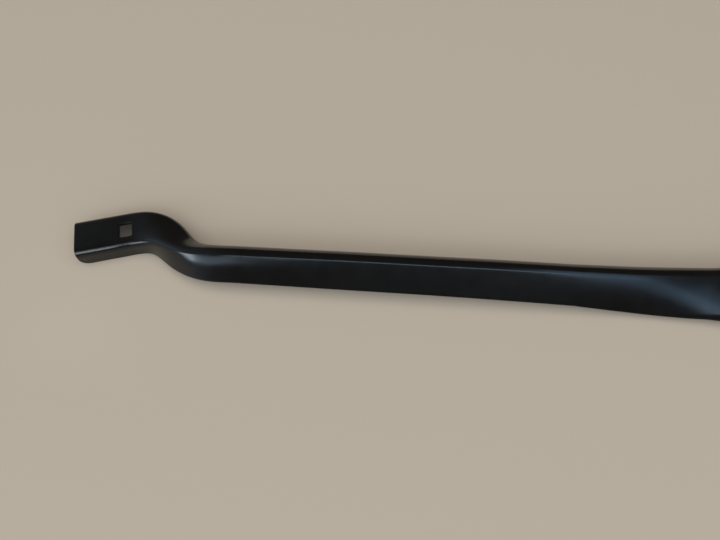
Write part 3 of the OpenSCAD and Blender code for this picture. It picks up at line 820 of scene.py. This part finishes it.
def noise(tree, scale, detail):
    """The value of a noise in the piece's own place."""
    node = tree.nodes.new("ShaderNodeTexNoise")
    node.inputs["Scale"].default_value = scale
    node.inputs["Detail"].default_value = detail
    place = tree.nodes.new("ShaderNodeTexCoord").outputs["Object"]
    tree.links.new(place, node.inputs["Vector"])
    return node.outputs["Fac"]


def mapped(tree, value, span, low=0.0, high=1.0, kind="LINEAR"):
    """A value mapped from a span to low and high, and held there beyond it."""
    node = tree.nodes.new("ShaderNodeMapRange")
    node.interpolation_type = kind
    for socket, number in zip(("From Min", "From Max", "To Min", "To Max"), (*span, low, high)):
        node.inputs[socket].default_value = number
    tree.links.new(value, node.inputs["Value"])
    return node.outputs["Result"]


def mixed(tree, factor, first, second):
    """A mix of two colours, each one a tuple or what a node puts out."""
    node = tree.nodes.new("ShaderNodeMix")
    node.data_type = "RGBA"
    tree.links.new(factor, node.inputs["Factor"])
    for socket, color in (("A", first), ("B", second)):
        if isinstance(color, tuple):
            node.inputs[socket].default_value = (*color, 1)
        else:
            tree.links.new(color, node.inputs[socket])
    return node.outputs["Result"]


def plain_material(name, color, roughness, metallic=0.0):
    """A node material of one colour, and its shader."""
    material = bpy.data.materials.new(name)
    material.use_nodes = True
    shader = material.node_tree.nodes["Principled BSDF"]
    shader.inputs["Base Color"].default_value = (*color, 1)
    shader.inputs["Roughness"].default_value = roughness
    shader.inputs["Metallic"].default_value = metallic
    return material, shader


def finish_material(name):
    """The node material of a finish, from its row in the table."""
    row = FINISHES[name]
    material, shader = plain_material(name, row["color"], row["roughness"], row.get("metallic", 0))
    tree = material.node_tree
    if "tones" in row:
        dark, light, *pattern = row["tones"]
        share = mapped(tree, noise(tree, *pattern), NOISE_SPAN)
        tree.links.new(mixed(tree, share, dark, light), shader.inputs["Base Color"])
    low, high, *pattern = row["rough"]
    roughness = mapped(tree, noise(tree, *pattern), NOISE_SPAN, low, high)
    tree.links.new(roughness, shader.inputs["Roughness"])
    if "grain" in row:
        rise, *pattern = row["grain"]
        bump = tree.nodes.new("ShaderNodeBump")
        bump.inputs["Distance"].default_value = rise * MM
        bump.inputs["Strength"].default_value = 1
        tree.links.new(noise(tree, *pattern), bump.inputs["Height"])
        tree.links.new(bump.outputs["Normal"], shader.inputs["Normal"])
    return material


# Camera, at the photograph's viewing angle: its place and its aim, along and across from the blade
# end, and its focal length in pixels of the photograph
CAMERA_FROM_TIP = (158.71, -137.68)
AIM_FROM_TIP = (149.99, -3.93)
CAMERA_HEIGHT = 252.08
FOCAL_PIXELS = 541
PHOTO_PIXELS = 720
SENSOR = 36
NEAREST_SEEN = 10


def add_camera():
    data = bpy.data.cameras.new("camera")
    data.sensor_width = SENSOR
    data.lens = FOCAL_PIXELS / PHOTO_PIXELS * SENSOR
    data.clip_start = NEAREST_SEEN * MM
    camera = linked("camera", data)
    at = Vector((TIP_X + CAMERA_FROM_TIP[0], TIP_Y + CAMERA_FROM_TIP[1], BASE_Z + CAMERA_HEIGHT))
    aim = Vector((TIP_X + AIM_FROM_TIP[0], TIP_Y + AIM_FROM_TIP[1], BASE_Z))
    camera.location = at * MM
    camera.rotation_euler = (aim - at).to_track_quat("-Z", "Y").to_euler()
    bpy.context.scene.camera = camera


# Light, with distances in metres and centres in millimetres
FLOOR_HALF = 3.0
FLOOR_COLOR = (0.456, 0.397, 0.32)
FLOOR_ROUGHNESS = 0.85
BACKDROP_COLOR = (0.46, 0.4, 0.33)
DIM_WARM = (0.078, 0.066, 0.052)
LEFT_BRIGHT = (0.38, 0.46, 0.53)
LEFT_SPAN = (-0.3, -1.0)
LAMP_DISTANCE = 1.5
LAMP_X = TIP_X + 145
TIP_LAMP_DISTANCE = 0.055
TIP_LAMP_X = TIP_X + 10

# Panels of light: name, start and end as zenith and azimuth, breadth, radiance and colour, and for
# the one near the blade end also its distance and its centre
PANELS = (
    ("window_row", (49.3, -108), (61, -47), 10, 0.9, (0.55, 0.98, 1.46)),
    ("window_core", (46.5, -124), (57.5, -56), 4.5, 3.4, (0.88, 1.0, 1.08)),
    ("window_left", (55.8, -109.3), (77.1, -146.8), 13.5, 1.45, (0.76, 1.0, 1.24)),
    ("left_core", (67, -134), (76, -143), 8, 1.5, (0.88, 1.0, 1.08)),
    ("window_right", (50.8, -59.1), (25.4, -9), 7, 1.15, (0.52, 1.0, 1.55)),
    ("beside_right", (58, -53), (34, -24), 8, 0.9, (0.6, 1.0, 1.4)),
    ("by_the_tip", (60, -118), (60, -78), 22, 4.2, (0.9, 1.0, 1.06),
     TIP_LAMP_DISTANCE, TIP_LAMP_X),
    ("window_side", (57.8, 175.2), (60.3, -166.7), 14, 0.3, (0.55, 1.0, 1.4)),
)

# Even light of the room: irradiance, colour, zenith and azimuth of its middle, and breadth
FILL = (2.88, (1.02, 0.97, 0.93), (34, -90), 130)


def floor():
    mesh = bpy.data.meshes.new("floor")
    size, z = FLOOR_HALF, BASE_Z * MM
    corners = [(-size, -size, z), (size, -size, z), (size, size, z), (-size, size, z)]
    mesh.from_pydata(corners, [], [(0, 1, 2, 3)])
    plane = linked("floor", mesh)
    material, _ = plain_material("pale_floor", FLOOR_COLOR, FLOOR_ROUGHNESS)
    plane.data.materials.append(material)


def way(zenith, azimuth):
    """Unit vector towards a direction given in degrees."""
    z, a = math.radians(zenith), math.radians(azimuth)
    return Vector((math.sin(z) * math.cos(a), math.sin(z) * math.sin(a), math.cos(z)))


def lamp(name, start, end, breadth, radiance, color, distance=LAMP_DISTANCE, x=LAMP_X):
    """A soft panel between two directions from a centre at x, of a breadth in degrees. One nearer
    than the others shows only in what mirrors it."""
    first, last = way(*start) * distance, way(*end) * distance
    middle = (first + last) / 2
    along = (last - first).normalized()
    back = (middle - along * middle.dot(along)).normalized()
    data = bpy.data.lights.new(name, "AREA")
    data.shape = "RECTANGLE"
    data.size = (last - first).length
    data.size_y = 2 * middle.length * math.tan(math.radians(breadth / 2))
    data.color = color
    data.energy = radiance * math.pi * data.size * data.size_y
    panel = linked(name, data)
    panel.location = middle + Vector((x * MM, 0, 0))
    panel.rotation_euler = Matrix((along, back.cross(along), back)).transposed().to_euler()
    panel.visible_camera = False
    panel.visible_diffuse = distance == LAMP_DISTANCE


def fill(irradiance, color, source, breadth):
    """Even light from a broad part of the sky, which the paint doesn't mirror as a panel."""
    data = bpy.data.lights.new("room_fill", "SUN")
    data.energy = irradiance
    data.color = color
    data.angle = math.radians(breadth)
    sky = linked("room_fill", data)
    sky.rotation_euler = way(*source).to_track_quat("Z", "Y").to_euler()
    sky.visible_glossy = False


def world():
    """Dim warm surroundings that turn brighter and cooler to the left, with a pale background in
    the floor's colour for the camera."""
    surroundings = bpy.data.worlds.new("world")
    surroundings.use_nodes = True
    tree = surroundings.node_tree
    split = tree.nodes.new("ShaderNodeSeparateXYZ")
    sight = tree.nodes.new("ShaderNodeTexCoord").outputs["Generated"]
    tree.links.new(sight, split.inputs["Vector"])
    leftward = mapped(tree, split.outputs["X"], LEFT_SPAN, kind="SMOOTHSTEP")
    shade = mixed(tree, leftward, DIM_WARM, LEFT_BRIGHT)
    seen = tree.nodes.new("ShaderNodeLightPath").outputs["Is Camera Ray"]
    backdrop = mixed(tree, seen, shade, BACKDROP_COLOR)
    tree.links.new(backdrop, tree.nodes["Background"].inputs["Color"])
    bpy.context.scene.world = surroundings


def stage():
    """Windows beyond the near side, the brightest to the left and one rising to the right, and an
    even fill for the room's diffuse light."""
    floor()
    world()
    for panel in PANELS:
        lamp(*panel)
    fill(*FILL)
    bpy.context.scene.view_settings.view_transform = "Standard"


# Assembly

def dress(piece, node, body, finish):
    """Puts a finished piece in the place of a solid, on its body and with its finish."""
    piece.data.materials.clear()
    piece.data.materials.append(materials[finish])
    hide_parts(node)
    if body:
        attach(piece, body)


add_camera()
materials = {name: finish_material(name) for name in FINISHES}
dress(arm_channel(), "arm_channel", "arm", "satin_black_paint")
dress(mounting_head(), "mounting_head", "head", "cast_black_paint")
dress(nut_cover(), "nut_cover", "head", "moulded_black")
dress(rivet("hinge_rivet", HINGE_PIN_R, HINGE_HEAD_R, HINGE_X, HINGE_Z),
      "hinge_pin", "arm", "plated_steel")
dress(rivet("anchor_rivet", ANCHOR_R, ANCHOR_HEAD_R, ANCHOR_X, ANCHOR_Z),
      "spring_anchor_pin", "arm", "plated_steel")
dress(bush("near_bush", -1), "hinge_bush_near", "head", "bearing_resin")
dress(bush("far_bush", 1), "hinge_bush_far", "head", "bearing_resin")
dress(hook_pin(), "hook_pin", "head", "plated_steel")
dress(spring_hook(), "spring_hook", "hook", "blanked_steel")
wire = tension_spring()
dress(wire, "tension_spring", None, "drawn_wire")
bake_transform(wire)
stage()
